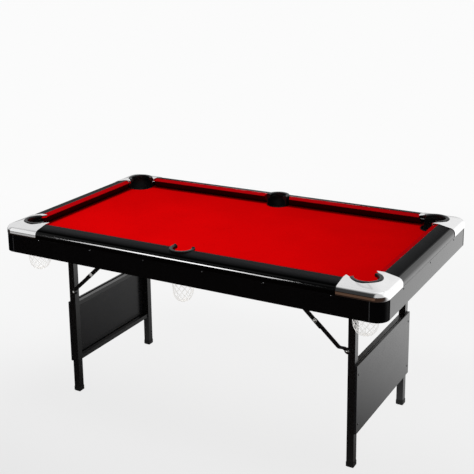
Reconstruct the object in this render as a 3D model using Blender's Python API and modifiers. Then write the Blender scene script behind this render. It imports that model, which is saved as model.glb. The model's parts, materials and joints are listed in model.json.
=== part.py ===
"""Folding six-pocket pool table: tabletop, corner caps, pockets with nets, and two folding leg sets.

Metres, +Z up. The origin is on the floor under the centre of the table, +X runs along its length
to the right and +Y runs away from the player's side, so the front of the table is -Y.
"""
import bmesh
import bpy
from math import atan2, cos, hypot, pi, radians, sin
from mathutils import Matrix, Vector

# Driving dimensions
TABLE_LENGTH = 1.650
TABLE_WIDTH = 0.962
BED_TOP = 0.752            # playing surface, top of the cloth
FIT_GAP = 0.0003           # between pieces that touch
OVERLAP = 0.0007           # how far solids that are joined run into each other
OVERSHOOT = 0.010          # how far a cutter runs past what it cuts
CUT_LOW, CUT_HIGH = 0.70, 0.85   # heights that clear the rails and caps
HALF_X = TABLE_LENGTH / 2
HALF_Y = TABLE_WIDTH / 2

# Tabletop section: u is the distance inward from the table's outer edge
PLAN_CORNER_RADIUS = 0.050
CLOTH_THICKNESS = 0.0022
BOARD_THICKNESS = 0.0125
BOARD_TOP = BED_TOP - CLOTH_THICKNESS - FIT_GAP
BOARD_BOTTOM = BOARD_TOP - BOARD_THICKNESS
RAIL_BOTTOM = BED_TOP + 0.0005
RAIL_OUTER_TOP = 0.785
RAIL_INNER_TOP = 0.795
RAIL_WIDTH = 0.069
RAIL_NOSING = 0.022        # radius of the rounded outer edge
CAP_PROUD = 0.0015         # how far the corner caps stand proud of the rails and aprons
NOSE_OFFSET = 0.093        # cushion nose, from the outer edge
NOSE_HEIGHT = 0.781
APRON_BOTTOM = 0.678
APRON_TOP = RAIL_BOTTOM - FIT_GAP
APRON_THICKNESS = 0.0135
APRON_SEAM = 0.053         # from the table's end to the seam of a corner piece
BED_MARGIN = 0.0158        # bed board's edge, from the outer edge
BED_CORNER_RADIUS = 0.036
NOSE_RADIUS = 0.003
CUSHION_DROP = 0.0015      # back edge of a cushion below the rail's inner edge
CUSHION_UNDERCUT = 0.014   # foot of a cushion's face, behind its nose
CUSHION_LIFT = 0.004       # underside of a cushion above the rails' underside

# Corner caps and pockets
CAP_ARM = 0.1756           # length of a cap along each side
CAP_WALL = 0.0035
HORN_REACH = 0.174         # horn tip, along the arm
HORN_DEPTH = 0.0945        # horn tip, inward from the outer edge
HORN_SHOULDER = 0.010      # where the arm's end starts to slant, short of the tip
CAP_HEART = 0.1245         # the caps' flat top is modelled this far in from the outer edge
CORNER_POCKET = (0.105, 0.104)   # centre, from the end and from the side
CORNER_POCKET_RADIUS = 0.057
MOUTH_HALF_ANGLE = radians(70)
SIDE_POCKET_Y = 0.4055
SIDE_POCKET_RADIUS = 0.050
SIDE_CUSHION_GAP = 0.0025  # from a side pocket's hole to the end of a cushion
LINER_LIP = 0.008
LINER_LIP_DEPTH = 0.010
LINER_EDGE = 0.002         # chamfer of the lip's edges
MOUTH_CUT = 0.12           # reach of the cut that opens a liner towards the bed
LINER_WALL = 0.003
LINER_BOTTOM = 0.716
LINER_TOP_DROP = 0.003     # lip below the surface round it
NET_BOTTOM = 0.580
NET_TOP_INSET = 0.001      # net's rim inside the liner's outer wall
NET_FOOT_RADIUS = 0.038
NET_FOOT_ROUND = 0.022
NET_TAPER_HEIGHT = 0.050   # where the taper ends, above the net's bottom
NET_TAPER_FLARE = 0.002
NET_THICKNESS = 0.002

# Leg sets, given for the right-hand (+X) set and mirrored for the left
LEG_X = 0.634
LEG_Y = 0.272
LEG_TUBE = 0.028
TUBE_WALL = 0.0015
LEG_PIVOT_Z = 0.700
PANEL_THICKNESS = 0.009
PANEL_HALF_WIDTH = 0.288
PANEL_BOTTOM = 0.141
PANEL_TOP = 0.412
CROSS_BAR = 0.018
CROSS_BAR_HEIGHTS = (0.151, 0.400)
SHAFT_RADIUS = 0.006
SHAFT_STANDOUT = 0.003     # shaft's end past the outer ear
FOOT_WIDTH = 0.0305
FOOT_HEIGHT = 0.022
FOOT_SOLE = 0.007
FOOT_CHAMFER = 0.004

# Folding stays: A is the pivot on the leg, B the knee, C the pivot under the bed, in (x, z)
PIVOT_A = (0.620, 0.465)
PIVOT_B = (0.504, 0.571)
PIVOT_C = (0.364, 0.702)
LINK_WIDTH = 0.016
LINK_THICKNESS = 0.003
LINK_OVERLAP = 0.028       # upper link past the knee
JOG_START = 0.022          # lower link steps outward this far from pivot A
TAIL_LANE = 0.2895         # inner face of the lower link at the leg
LOWER_LANE = 0.3130        # inner face of the lower link
UPPER_LANE = 0.3165        # inner face of the upper link
PIN_RADIUS = 0.004
PIN_HEAD_RADIUS = 0.0068
PIN_HEAD_HEIGHT = 0.004
PIN_CLEARANCE = 0.0003
LUG_RADIUS = 0.0125
LUG_SPAN = (-0.001, 0.006)  # of the lug's centre line, from pivot A towards the tube
UPPER_LINK_EXTRA = 0.0005   # upper link is wider than the lower one by this on each side
MOUNT_THICKNESS = 0.002
MOUNT_INNER_Y = 0.2545
MOUNT_ENDS = (0.345, 0.665)
MOUNT_TIE = 0.020          # half width of the strip that joins a mount's two sides
MOUNT_TIE_INSET = 0.0002   # the strip's faces lie this far inside the mount's
EAR_GAP = 0.0005
EAR_RADIUS = 0.013
EAR_INSET = 0.0001         # an ear's faces lie this far inside its full thickness
TAB_RADIUS = 0.010
TAB_ROOT = 0.001           # ears and tabs run this far up into the mount
BATTEN_WIDTH = 0.015
BATTEN_INNER_Y = 0.3285
BATTEN_BOTTOM = 0.697
BATTEN_HALF_LENGTH = 0.600

SIDES = {"left": -1, "right": 1}
DEPTHS = {"front": -1, "back": 1}

MATERIALS = {
    "black_gloss": ((0.012, 0.012, 0.013), 0.18, 0.0),
    "black_satin": ((0.030, 0.031, 0.033), 0.42, 0.0),
    "red_cloth": ((0.560, 0.008, 0.012), 0.95, 0.0),
    "silver_cap": ((0.830, 0.830, 0.840), 0.16, 1.0),
    "black_plastic": ((0.020, 0.020, 0.021), 0.40, 0.0),
    "white_cord": ((0.780, 0.760, 0.740), 0.90, 0.0),
    "board": ((0.420, 0.300, 0.190), 0.80, 0.0),
    "black_steel": ((0.022, 0.022, 0.024), 0.38, 0.0),
    "black_panel": ((0.035, 0.035, 0.038), 0.45, 0.0),
    "black_rubber": ((0.018, 0.018, 0.018), 0.75, 0.0),
    "zinc": ((0.620, 0.620, 0.600), 0.32, 1.0),
}


# ---------------------------------------------------------------- scene and object helpers

def clear_scene():
    for obj in list(bpy.data.objects):
        bpy.data.objects.remove(obj, do_unlink=True)


def make_collection(name):
    collection = bpy.data.collections.new(name)
    bpy.context.scene.collection.children.link(collection)
    return collection


def make_material(name):
    colour, roughness, metallic = MATERIALS[name]
    material = bpy.data.materials.get(name) or bpy.data.materials.new(name)
    material.use_nodes = True
    shader = material.node_tree.nodes["Principled BSDF"]
    shader.inputs["Base Color"].default_value = (*colour, 1.0)
    shader.inputs["Roughness"].default_value = roughness
    shader.inputs["Metallic"].default_value = metallic
    return material


def add_object(name, mesh, collection, origin=(0, 0, 0)):
    """Link a mesh given in world coordinates, with the object's origin at the stated point."""
    obj = bpy.data.objects.new(name, mesh)
    mesh.transform(Matrix.Translation(-Vector(origin)))
    obj.location = origin
    collection.objects.link(obj)
    return obj


def part(name, mesh, material, origin=(0, 0, 0)):
    obj = add_object(name, mesh, PARTS, origin)
    obj.data.materials.append(make_material(material))
    return obj


def cutter(mesh):
    obj = add_object("cutter", mesh, CUTTERS)
    obj.hide_render = True
    obj.display_type = "WIRE"
    return obj


def boolean(obj, tool, operation):
    modifier = obj.modifiers.new(operation.lower(), "BOOLEAN")
    modifier.operation = operation
    modifier.object = tool
    return obj


def smooth(obj, angle=35):
    obj.data.shade_smooth()
    obj.data.set_sharp_from_angle(angle=radians(angle))
    return obj


# ---------------------------------------------------------------- shape helpers (meshes in world space)

def mesh_from(bm, name="shape"):
    bmesh.ops.recalc_face_normals(bm, faces=bm.faces)
    mesh = bpy.data.meshes.new(name)
    bm.to_mesh(mesh)
    bm.free()
    return mesh


def box(low, high):
    bm = bmesh.new()
    bmesh.ops.create_cube(bm, size=1)
    size = [abs(h - l) for l, h in zip(low, high)]
    centre = [(l + h) / 2 for l, h in zip(low, high)]
    bmesh.ops.scale(bm, vec=size, verts=bm.verts)
    bmesh.ops.translate(bm, vec=centre, verts=bm.verts)
    return mesh_from(bm)


def rod(start, end, radius, segments=20):
    """A round bar between two points."""
    start, end = Vector(start), Vector(end)
    span = end - start
    bm = bmesh.new()
    bmesh.ops.create_cone(bm, cap_ends=True, segments=segments, radius1=radius, radius2=radius,
                          depth=span.length)
    turn = Vector((0, 0, 1)).rotation_difference(span).to_matrix().to_4x4()
    bmesh.ops.transform(bm, matrix=Matrix.Translation((start + end) / 2) @ turn, verts=bm.verts)
    return mesh_from(bm)


def plate(points, low, high):
    """A flat outline in XY, extruded from height low to height high."""
    curve = bpy.data.curves.new("outline", "CURVE")
    curve.dimensions = "2D"
    curve.fill_mode = "BOTH"
    curve.extrude = (high - low) / 2
    spline = curve.splines.new("POLY")
    spline.points.add(len(points) - 1)
    for point, (x, y) in zip(spline.points, points):
        point.co = (x, y, 0, 1)
    spline.use_cyclic_u = True
    shape = bpy.data.objects.new("outline", curve)
    CUTTERS.objects.link(shape)
    bpy.context.view_layer.update()
    evaluated = shape.evaluated_get(bpy.context.evaluated_depsgraph_get())
    mesh = bpy.data.meshes.new_from_object(evaluated)
    bpy.data.objects.remove(shape, do_unlink=True)
    bm = bmesh.new()
    bm.from_mesh(mesh)
    bmesh.ops.remove_doubles(bm, verts=bm.verts, dist=1e-6)
    bmesh.ops.translate(bm, vec=(0, 0, (low + high) / 2), verts=bm.verts)
    return mesh_from(bm)


def moved(mesh, matrix):
    """The mesh placed by a matrix, with its faces pointing out again."""
    mesh.transform(matrix)
    bm = bmesh.new()
    bm.from_mesh(mesh)
    return mesh_from(bm)


def upright_plate(points, y_start, y_end):
    """A flat outline in the XZ plane, extruded along Y."""
    low, high = min(y_start, y_end), max(y_start, y_end)
    stand = Matrix(((1, 0, 0, 0), (0, 0, 1, 0), (0, 1, 0, 0), (0, 0, 0, 1)))
    return moved(plate(points, low, high), stand)


def arc(centre, radius, start, end, steps):
    for step in range(steps + 1):
        angle = start + (end - start) * step / steps
        yield centre[0] + radius * cos(angle), centre[1] + radius * sin(angle)


def rounded_rectangle(half_x, half_y, radius, steps=6):
    points = []
    for index, (sx, sy) in enumerate(((1, 1), (-1, 1), (-1, -1), (1, -1))):
        centre = (sx * (half_x - radius), sy * (half_y - radius))
        points += arc(centre, radius, index * pi / 2, (index + 1) * pi / 2, steps)
    return points


def slot_outline(start, end, radius, past_start=0.0, past_end=0.0, steps=8):
    """A bar with round ends, from start to end, lengthened past either point."""
    angle = atan2(end[1] - start[1], end[0] - start[0])
    along = (cos(angle), sin(angle))
    tail = (start[0] - along[0] * past_start, start[1] - along[1] * past_start)
    tip = (end[0] + along[0] * past_end, end[1] + along[1] * past_end)
    points = list(arc(tip, radius, angle - pi / 2, angle + pi / 2, steps))
    points += arc(tail, radius, angle + pi / 2, angle + 3 * pi / 2, steps)
    return points


def turned(name, profile, centre, material, segments=32):
    """A shape turned round a vertical axis; the profile runs down its outer side and back up."""
    mesh = bpy.data.meshes.new(name)
    bm = bmesh.new()
    verts = [bm.verts.new((radius, 0, height)) for radius, height in profile]
    for first, second in zip(verts, verts[1:] + verts[:1]):
        bm.edges.new((first, second))
    bm.to_mesh(mesh)
    bm.free()
    obj = bpy.data.objects.new(name, mesh)
    obj.location = (*centre, 0)
    PARTS.objects.link(obj)
    obj.data.materials.append(make_material(material))
    screw = obj.modifiers.new("turn", "SCREW")
    screw.steps = screw.render_steps = segments
    screw.use_merge_vertices = True
    screw.merge_threshold = 0.00001
    return obj


# ---------------------------------------------------------------- tabletop

def rail_section(inset, grow, bottom):
    """(u, z) points up the outer face, round the nosing and up the gentle slope, raised by `grow`."""
    centre = (RAIL_NOSING, RAIL_OUTER_TOP - RAIL_NOSING)
    rounding = list(arc(centre, RAIL_NOSING - inset, pi, pi / 2, 5))
    slope_end = (RAIL_WIDTH, RAIL_INNER_TOP - inset)
    flat_end = (CAP_HEART, RAIL_INNER_TOP - inset)
    points = [(inset, bottom)] + rounding + [slope_end, flat_end]
    return [(u, z + grow if z > bottom else z) for u, z in points]


def tabletop_slab(inset=0.0, grow=0.0, bottom=RAIL_BOTTOM):
    """A solid of the whole tabletop's outer form: stacked rounded rectangles, one for each section point."""
    bm = bmesh.new()
    loops = []
    sharpest = 0.004
    for u, z in rail_section(inset, grow, bottom):
        u += CAP_PROUD - grow
        outline = rounded_rectangle(HALF_X - u, HALF_Y - u, max(PLAN_CORNER_RADIUS - u, sharpest))
        loops.append([bm.verts.new((x, y, z)) for x, y in outline])
    for lower, upper in zip(loops, loops[1:]):
        for i in range(len(lower)):
            j = (i + 1) % len(lower)
            bm.faces.new((lower[i], lower[j], upper[j], upper[i]))
    bm.faces.new(loops[0])
    bm.faces.new(loops[-1])
    return mesh_from(bm)


def make_bed():
    outline = rounded_rectangle(HALF_X - BED_MARGIN, HALF_Y - BED_MARGIN, BED_CORNER_RADIUS)
    board = part("bed_board", plate(outline, BOARD_BOTTOM, BOARD_TOP), "board")
    cloth = part("bed_cloth", plate(outline, BED_TOP - CLOTH_THICKNESS, BED_TOP), "red_cloth")
    for _, (x, y), radius in pockets():
        hole = cutter(rod((x, y, BOARD_BOTTOM - OVERSHOOT), (x, y, BED_TOP + OVERSHOOT), radius + FIT_GAP, 32))
        boolean(board, hole, "DIFFERENCE")
        boolean(cloth, hole, "DIFFERENCE")


def pockets():
    """Each pocket's name, centre and hole radius."""
    found = []
    for depth, sy in DEPTHS.items():
        for side, sx in SIDES.items():
            centre = (sx * (HALF_X - CORNER_POCKET[0]), sy * (HALF_Y - CORNER_POCKET[1]))
            found.append((f"{depth}_{side}", centre, CORNER_POCKET_RADIUS))
        found.append((f"{depth}_middle", (0, sy * SIDE_POCKET_Y), SIDE_POCKET_RADIUS))
    return found


def make_rails():
    end_x = HALF_X - CAP_ARM - FIT_GAP
    end_y = HALF_Y - CAP_ARM - FIT_GAP
    for depth, sy in DEPTHS.items():
        rail = part(f"rail_{depth}", tabletop_slab(), "black_satin")
        keep = box((-end_x, sy * (HALF_Y - RAIL_WIDTH), CUT_LOW), (end_x, sy * (HALF_Y + OVERSHOOT), CUT_HIGH))
        boolean(rail, cutter(keep), "INTERSECT")
        notch = rod((0, sy * SIDE_POCKET_Y, CUT_LOW), (0, sy * SIDE_POCKET_Y, CUT_HIGH),
                    SIDE_POCKET_RADIUS + FIT_GAP, 32)
        boolean(rail, cutter(notch), "DIFFERENCE")
        smooth(rail)
    for side, sx in SIDES.items():
        rail = part(f"rail_{side}", tabletop_slab(), "black_satin")
        keep = box((sx * (HALF_X - RAIL_WIDTH), -end_y, CUT_LOW), (sx * (HALF_X + OVERSHOOT), end_y, CUT_HIGH))
        boolean(rail, cutter(keep), "INTERSECT")
        smooth(rail)


def cushion_section():
    """(u, z) outline of a cushion: sloping top, nose, and undercut face."""
    back = RAIL_WIDTH + FIT_GAP
    under = RAIL_BOTTOM + CUSHION_LIFT
    nose = list(arc((NOSE_OFFSET - NOSE_RADIUS, NOSE_HEIGHT), NOSE_RADIUS, radians(60), radians(-50), 3))
    return [(back, RAIL_INNER_TOP - CUSHION_DROP)] + nose + [(NOSE_OFFSET - CUSHION_UNDERCUT, under),
                                                             (back, under)]


def make_cushion(name, length_low, length_high, place):
    """A cushion drawn along local X with u along local Y, put in place by a matrix."""
    lie_down = Matrix(((0, 0, 1, 0), (1, 0, 0, 0), (0, 1, 0, 0), (0, 0, 0, 1)))
    mesh = moved(plate(cushion_section(), length_low, length_high), place @ lie_down)
    return part(name, mesh, "red_cloth")


def make_cushions():
    corner_end_x = HALF_X - CAP_ARM - FIT_GAP
    corner_end_y = HALF_Y - CAP_ARM - FIT_GAP
    side_end = SIDE_POCKET_RADIUS + SIDE_CUSHION_GAP
    for depth, sy in DEPTHS.items():
        for side, sx in SIDES.items():
            place = Matrix(((sx, 0, 0, 0), (0, -sy, 0, sy * HALF_Y), (0, 0, 1, 0), (0, 0, 0, 1)))
            make_cushion(f"cushion_{depth}_{side}", side_end, corner_end_x, place)
    for side, sx in SIDES.items():
        place = Matrix(((0, -sx, 0, sx * HALF_X), (1, 0, 0, 0), (0, 0, 1, 0), (0, 0, 0, 1)))
        make_cushion(f"cushion_{side}", -corner_end_y, corner_end_y, place)


def make_aprons():
    outer_x = HALF_X - CAP_PROUD
    outer_y = HALF_Y - CAP_PROUD
    end_x = HALF_X - APRON_SEAM - FIT_GAP
    end_y = HALF_Y - APRON_SEAM - FIT_GAP
    for depth, sy in DEPTHS.items():
        low = (-end_x, sy * (outer_y - APRON_THICKNESS), APRON_BOTTOM)
        part(f"apron_{depth}", box(low, (end_x, sy * outer_y, APRON_TOP)), "black_gloss")
    for side, sx in SIDES.items():
        low = (sx * (outer_x - APRON_THICKNESS), -end_y, APRON_BOTTOM)
        part(f"apron_{side}", box(low, (sx * outer_x, end_y, APRON_TOP)), "black_gloss")
    for depth, sy in DEPTHS.items():
        for side, sx in SIDES.items():
            make_apron_corner(f"apron_corner_{depth}_{side}", sx, sy, outer_x, outer_y)


def make_apron_corner(name, sx, sy, outer_x, outer_y):
    """A quarter-round corner with short straight ends."""
    radius = PLAN_CORNER_RADIUS - CAP_PROUD
    centre = (outer_x - radius, outer_y - radius)
    end_x, end_y = HALF_X - APRON_SEAM, HALF_Y - APRON_SEAM
    outer = [(end_x, outer_y)] + list(arc(centre, radius, pi / 2, 0, 8)) + [(outer_x, end_y)]
    inner_radius = radius - APRON_THICKNESS
    inner = [(outer_x - APRON_THICKNESS, end_y)] + list(arc(centre, inner_radius, 0, pi / 2, 8))
    inner.append((end_x, outer_y - APRON_THICKNESS))
    points = [(sx * x, sy * y) for x, y in outer + inner]
    smooth(part(name, plate(points, APRON_BOTTOM, APRON_TOP), "black_gloss"))


# ---------------------------------------------------------------- corner caps and pockets

def cap_outline(inset):
    """A cap's plan, measured from the table's corner: two arms with a horn each, and a round pocket.

    An inset draws the plan of the hollow inside. It moves the slanted horn further than the straight
    sides, so that the wall stays about as thick there.
    """
    radius = CORNER_POCKET_RADIUS + inset
    mouth = pi / 4
    outside = -2 * OVERSHOOT
    start, end = mouth - MOUTH_HALF_ANGLE, mouth + MOUTH_HALF_ANGLE - 2 * pi
    arm = CAP_ARM - inset
    shoulder = HORN_DEPTH - HORN_SHOULDER - 0.5 * inset
    horn = (HORN_REACH - 1.3 * inset, HORN_DEPTH - 2 * inset)
    points = [(outside, outside), (arm, outside), (arm, shoulder), horn]
    points += arc(CORNER_POCKET, radius, start, end, 20)
    points += [(horn[1], horn[0]), (shoulder, arm), (outside, arm)]
    return points


def make_cap(name, sx, sy):
    def place(points):
        return [(sx * (HALF_X - a), sy * (HALF_Y - b)) for a, b in points]

    cap = part(name, tabletop_slab(grow=CAP_PROUD), "silver_cap")
    boolean(cap, cutter(plate(place(cap_outline(0)), CUT_LOW, CUT_HIGH)), "INTERSECT")
    hollow = cutter(tabletop_slab(inset=CAP_WALL, grow=CAP_PROUD, bottom=RAIL_BOTTOM - 2 * OVERSHOOT))
    boolean(hollow, cutter(plate(place(cap_outline(CAP_WALL)), CUT_LOW, CUT_HIGH)), "INTERSECT")
    boolean(cap, hollow, "DIFFERENCE")
    smooth(cap)


def make_liner(name, centre, radius, top):
    """A turned pocket liner with a broad lip, cut away above the bed where a ball rolls in."""
    outer = radius - FIT_GAP
    bore = outer - LINER_LIP
    wall = outer - LINER_WALL
    lip_bottom = top - LINER_LIP_DEPTH
    edge = LINER_EDGE
    profile = [(outer, top - edge), (outer, LINER_BOTTOM), (wall, LINER_BOTTOM), (wall, lip_bottom),
               (bore, lip_bottom + 2 * edge), (bore, top - edge), (bore + edge, top), (outer - edge, top)]
    liner = turned(name, profile, centre, "black_plastic")
    towards = Vector((-centre[0], -centre[1]))
    if centre[0] == 0:
        reach = SIDE_POCKET_Y - (HALF_Y - NOSE_OFFSET)
    else:
        towards = Vector((-1 if centre[0] > 0 else 1, -1 if centre[1] > 0 else 1))
        reach = radius * cos(MOUTH_HALF_ANGLE)
    towards.normalize()
    side = Vector((-towards.y, towards.x))
    far = MOUTH_CUT
    corners = [(reach, -far), (far, -far), (far, far), (reach, far)]
    points = [(centre[0] + towards.x * a + side.x * b, centre[1] + towards.y * a + side.y * b)
              for a, b in corners]
    boolean(liner, cutter(plate(points, BED_TOP + FIT_GAP, CUT_HIGH)), "DIFFERENCE")
    smooth(liner)


def make_net(name, centre, top_radius):
    """The net's closed form: an open cup hanging from the liner."""
    top = LINER_BOTTOM - FIT_GAP
    flat = NET_FOOT_RADIUS - NET_FOOT_ROUND
    outer = [(top_radius, top), (NET_FOOT_RADIUS + NET_TAPER_FLARE, NET_BOTTOM + NET_TAPER_HEIGHT)]
    outer += arc((flat, NET_BOTTOM + NET_FOOT_ROUND), NET_FOOT_ROUND, 0, -pi / 2, 3)
    inner = [(radius - NET_THICKNESS, height) for radius, height in outer[:-2]]
    low = NET_BOTTOM + NET_THICKNESS
    inner += [(flat, low)]
    profile = outer + [(0.0, NET_BOTTOM), (0.0, low)] + inner[::-1]
    smooth(turned(name, profile, centre, "white_cord", segments=16))


def make_pockets():
    for name, centre, radius in pockets():
        surface = RAIL_INNER_TOP if centre[0] == 0 else RAIL_INNER_TOP + CAP_PROUD
        liner_top = surface - LINER_TOP_DROP
        make_liner(f"pocket_liner_{name}", centre, radius, liner_top)
        make_net(f"pocket_net_{name}", centre, radius - NET_TOP_INSET)
    for depth, sy in DEPTHS.items():
        for side, sx in SIDES.items():
            make_cap(f"corner_cap_{depth}_{side}", sx, sy)


# ---------------------------------------------------------------- leg sets

def join(obj, meshes):
    for mesh in meshes:
        boolean(obj, cutter(mesh), "UNION")
    return obj


def y_rod(x, z, y_start, y_end, radius, segments=16):
    return rod((x, y_start, z), (x, y_end, z), radius, segments)


def make_leg_frame(side, sx):
    """Two square tubes, two cross channels, the pivot shaft, and a lug with a pin for each stay."""
    half = LEG_TUBE / 2
    bore = half - TUBE_WALL
    x = sx * LEG_X
    foot_end = FOOT_SOLE + FIT_GAP
    top = LEG_PIVOT_Z + half
    origin = (x, 0, LEG_PIVOT_Z)
    tubes = []
    for sy in (-1, 1):
        y = sy * LEG_Y
        tubes.append((box((x - half, y - half, foot_end), (x + half, y + half, top)),
                      box((x - bore, y - bore, 0), (x + bore, y + bore, top + OVERSHOOT))))
    frame = part(f"leg_frame_{side}", tubes[0][0], "black_steel", origin)
    boolean(frame, cutter(tubes[0][1]), "DIFFERENCE")
    other = cutter(tubes[1][0])
    boolean(other, cutter(tubes[1][1]), "DIFFERENCE")
    boolean(frame, other, "UNION")
    reach = LEG_Y - bore - OVERLAP
    for height in CROSS_BAR_HEIGHTS:
        half_bar = CROSS_BAR / 2
        bar = cutter(box((x - half_bar, -reach, height - half_bar), (x + half_bar, reach, height + half_bar)))
        groove = half_bar - TUBE_WALL
        inside = LEG_Y - half
        hollow = box((x - groove, -inside, height - CROSS_BAR), (x + groove, inside, height + groove))
        boolean(bar, cutter(hollow), "DIFFERENCE")
        boolean(frame, bar, "UNION")
    shaft_end = LEG_Y + half + EAR_GAP + LINK_THICKNESS + SHAFT_STANDOUT
    join(frame, [y_rod(x, LEG_PIVOT_Z, -shaft_end, shaft_end, SHAFT_RADIUS, 20)])
    ax, az = sx * PIVOT_A[0], PIVOT_A[1]
    face = LEG_Y + half
    head = TAIL_LANE + LINK_THICKNESS + EAR_GAP
    for sy in (-1, 1):
        lug = slot_outline((ax + sx * LUG_SPAN[0], az), (ax + sx * LUG_SPAN[1], az), LUG_RADIUS)
        join(frame, [upright_plate(lug, sy * (face - OVERLAP), sy * (TAIL_LANE - EAR_GAP)),
                     y_rod(ax, az, sy * (face + OVERLAP), sy * (head + 2 * OVERLAP), PIN_RADIUS),
                     y_rod(ax, az, sy * head, sy * (head + PIN_HEAD_HEIGHT), PIN_HEAD_RADIUS)])
    return origin


def make_leg_panel(side, sx, origin):
    inner = LEG_X + LEG_TUBE / 2 + FIT_GAP
    mesh = box((sx * inner, -PANEL_HALF_WIDTH, PANEL_BOTTOM),
               (sx * (inner + PANEL_THICKNESS), PANEL_HALF_WIDTH, PANEL_TOP))
    part(f"leg_panel_{side}", mesh, "black_panel", origin)


def make_foot(side, depth, sx, sy, origin):
    """A square cap, chamfered round the sole, with a blind socket for the end of the tube."""
    half = FOOT_WIDTH / 2
    socket = LEG_TUBE / 2 + FIT_GAP
    x, y = sx * LEG_X, sy * LEG_Y
    bm = bmesh.new()
    loops = []
    for reach, height in ((half - FOOT_CHAMFER, 0), (half, FOOT_CHAMFER), (half, FOOT_HEIGHT)):
        corners = ((-reach, -reach), (reach, -reach), (reach, reach), (-reach, reach))
        loops.append([bm.verts.new((x + a, y + b, height)) for a, b in corners])
    for lower, upper in zip(loops, loops[1:]):
        for i in range(4):
            bm.faces.new((lower[i], lower[i - 3], upper[i - 3], upper[i]))
    bm.faces.new(loops[0])
    bm.faces.new(loops[-1])
    foot = part(f"foot_{side}_{depth}", mesh_from(bm), "black_rubber", origin)
    hole = box((x - socket, y - socket, FOOT_SOLE), (x + socket, y + socket, FOOT_HEIGHT + OVERSHOOT))
    boolean(foot, cutter(hole), "DIFFERENCE")


def make_lower_link(side, depth, sx, sy):
    """A flat bar from the leg to the knee, stepped outward near the leg."""
    a, b = (sx * PIVOT_A[0], PIVOT_A[1]), (sx * PIVOT_B[0], PIVOT_B[1])
    length = hypot(b[0] - a[0], b[1] - a[1])
    along = ((b[0] - a[0]) / length, (b[1] - a[1]) / length)
    step = (a[0] + along[0] * JOG_START, a[1] + along[1] * JOG_START)
    half = LINK_WIDTH / 2
    origin = (a[0], 0, a[1])
    tail = upright_plate(slot_outline(a, step, half), sy * TAIL_LANE, sy * (TAIL_LANE + LINK_THICKNESS))
    link = part(f"brace_lower_{side}_{depth}", tail, "black_steel", origin)
    bar = upright_plate(slot_outline(step, b, half), sy * LOWER_LANE, sy * (LOWER_LANE + LINK_THICKNESS))
    web = upright_plate(slot_outline(step, step, half - OVERLAP), sy * (TAIL_LANE + LINK_THICKNESS / 2),
                        sy * (LOWER_LANE + LINK_THICKNESS / 2))
    join(link, [bar, web])
    for x, z in (a, b):
        hole = y_rod(x, z, sy * (TAIL_LANE - OVERSHOOT), sy * (LOWER_LANE + OVERSHOOT),
                     PIN_RADIUS + PIN_CLEARANCE)
        boolean(link, cutter(hole), "DIFFERENCE")


def make_upper_link(side, depth, sx, sy):
    """A flat bar from the mount under the bed to the knee and a little past it, and the knee's bolt."""
    b, c = (sx * PIVOT_B[0], PIVOT_B[1]), (sx * PIVOT_C[0], PIVOT_C[1])
    origin = (c[0], 0, c[1])
    outline = slot_outline(c, b, LINK_WIDTH / 2 + UPPER_LINK_EXTRA, past_end=LINK_OVERLAP)
    bar = upright_plate(outline, sy * UPPER_LANE, sy * (UPPER_LANE + LINK_THICKNESS))
    link = part(f"brace_upper_{side}_{depth}", bar, "black_steel", origin)
    for x, z in (b, c):
        hole = y_rod(x, z, sy * (UPPER_LANE - OVERSHOOT), sy * (UPPER_LANE + OVERSHOOT),
                     PIN_RADIUS + PIN_CLEARANCE)
        boolean(link, cutter(hole), "DIFFERENCE")
    outer = UPPER_LANE + LINK_THICKNESS + FIT_GAP
    shank = y_rod(b[0], b[1], sy * (UPPER_LANE + FIT_GAP), sy * (outer + OVERLAP), PIN_RADIUS)
    bolt = part(f"brace_bolt_{side}_{depth}", shank, "zinc", origin)
    hexagon = y_rod(b[0], b[1], sy * outer, sy * (outer + PIN_HEAD_HEIGHT), PIN_HEAD_RADIUS, 6)
    join(bolt, [hexagon])


def hanging_tab(pivot, radius, top):
    """Outline of a tab that hangs from height top and ends in a half round about the pivot."""
    sides = [(pivot[0] + radius, top), (pivot[0] - radius, top)]
    return sides + list(arc(pivot, radius, pi, 2 * pi, 8))


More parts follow.
